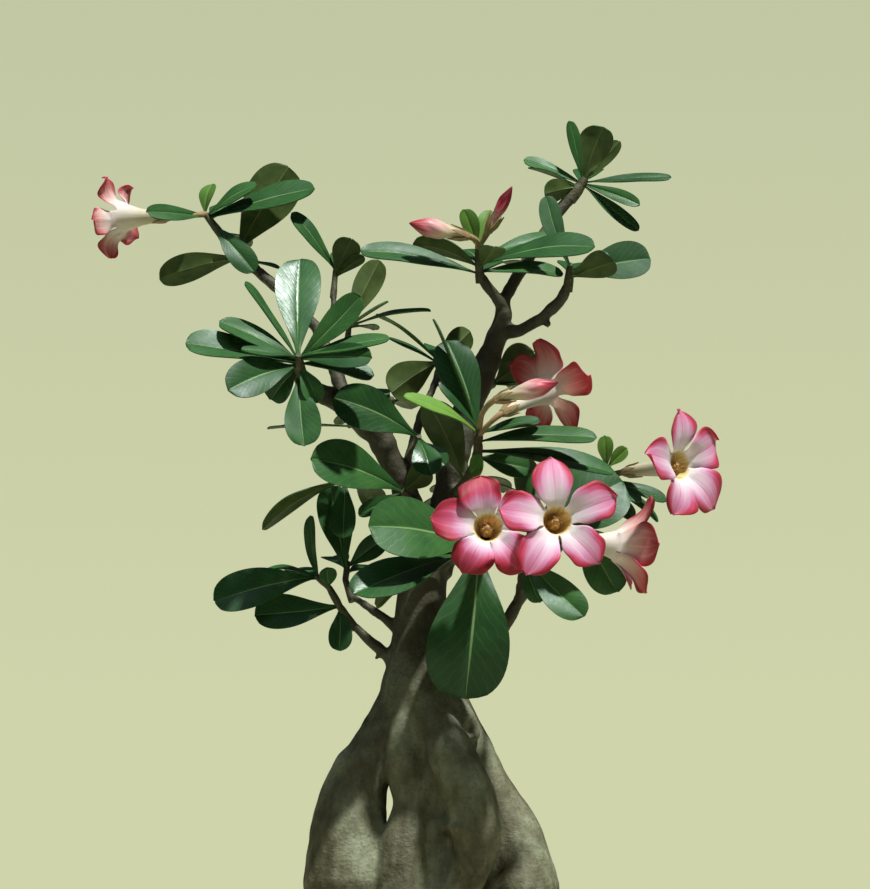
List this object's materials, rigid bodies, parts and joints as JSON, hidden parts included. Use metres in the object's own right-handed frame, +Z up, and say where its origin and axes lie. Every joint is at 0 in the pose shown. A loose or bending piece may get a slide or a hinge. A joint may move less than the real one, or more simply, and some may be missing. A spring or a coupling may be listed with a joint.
{
  "type": "potted desert rose adenium",
  "caption": "Desert rose trained as a small flowering tree, with a swollen base of raised roots, glossy leaf rosettes and pink trumpet blooms, in a round terracotta pot.",
  "frame": {"origin": "centre of the flat foot of the pot, on the surface that it stands on", "axes": "+Z up along the pot's axis; -Y towards the viewer, the side that the front blooms look to; +X to the viewer's right"},
  "size_m": [0.3168, 0.224, 0.5313],
  "materials": {
    "terracotta": "unglazed, matt",
    "soil": "crumbly, matt",
    "bark": "smooth living bark, satin",
    "leaf": "waxy, glossy",
    "petal": "velvety, pale throat",
    "bud": "satin"
  },
  "bodies": {
    "root": {"pot": "terracotta", "soil": "soil", "wood": "bark", "shoot_upper_left": "leaf", "shoot_left_star": "leaf", "shoot_left_twig": "leaf", "shoot_left_spur": "leaf", "shoot_top_centre": "leaf", "shoot_top_right": "leaf", "shoot_right_fork": "leaf", "shoot_centre": "leaf", "shoot_rear_centre": "leaf", "shoot_rear_right": "leaf", "shoot_front_right": "leaf", "shoot_right_low": "leaf", "shoot_low_front": "leaf", "shoot_left_mid": "leaf", "shoot_centre_spur": "leaf", "shoot_left_under": "leaf", "shoot_lowest_left": "leaf", "shoot_low_left": "leaf", "shoot_mid_left": "leaf", "shoot_rear_left": "leaf", "shoot_rear_low": "leaf", "bloom_far_left": "petal", "bloom_front_left": "petal", "bloom_front_right": "petal", "bloom_turned_away": "petal", "bloom_far_right": "petal", "bloom_low_right": "petal", "bud_top_left": "bud", "bud_top_right": "bud", "bud_centre": "bud"}
  },
  "joints": []
}
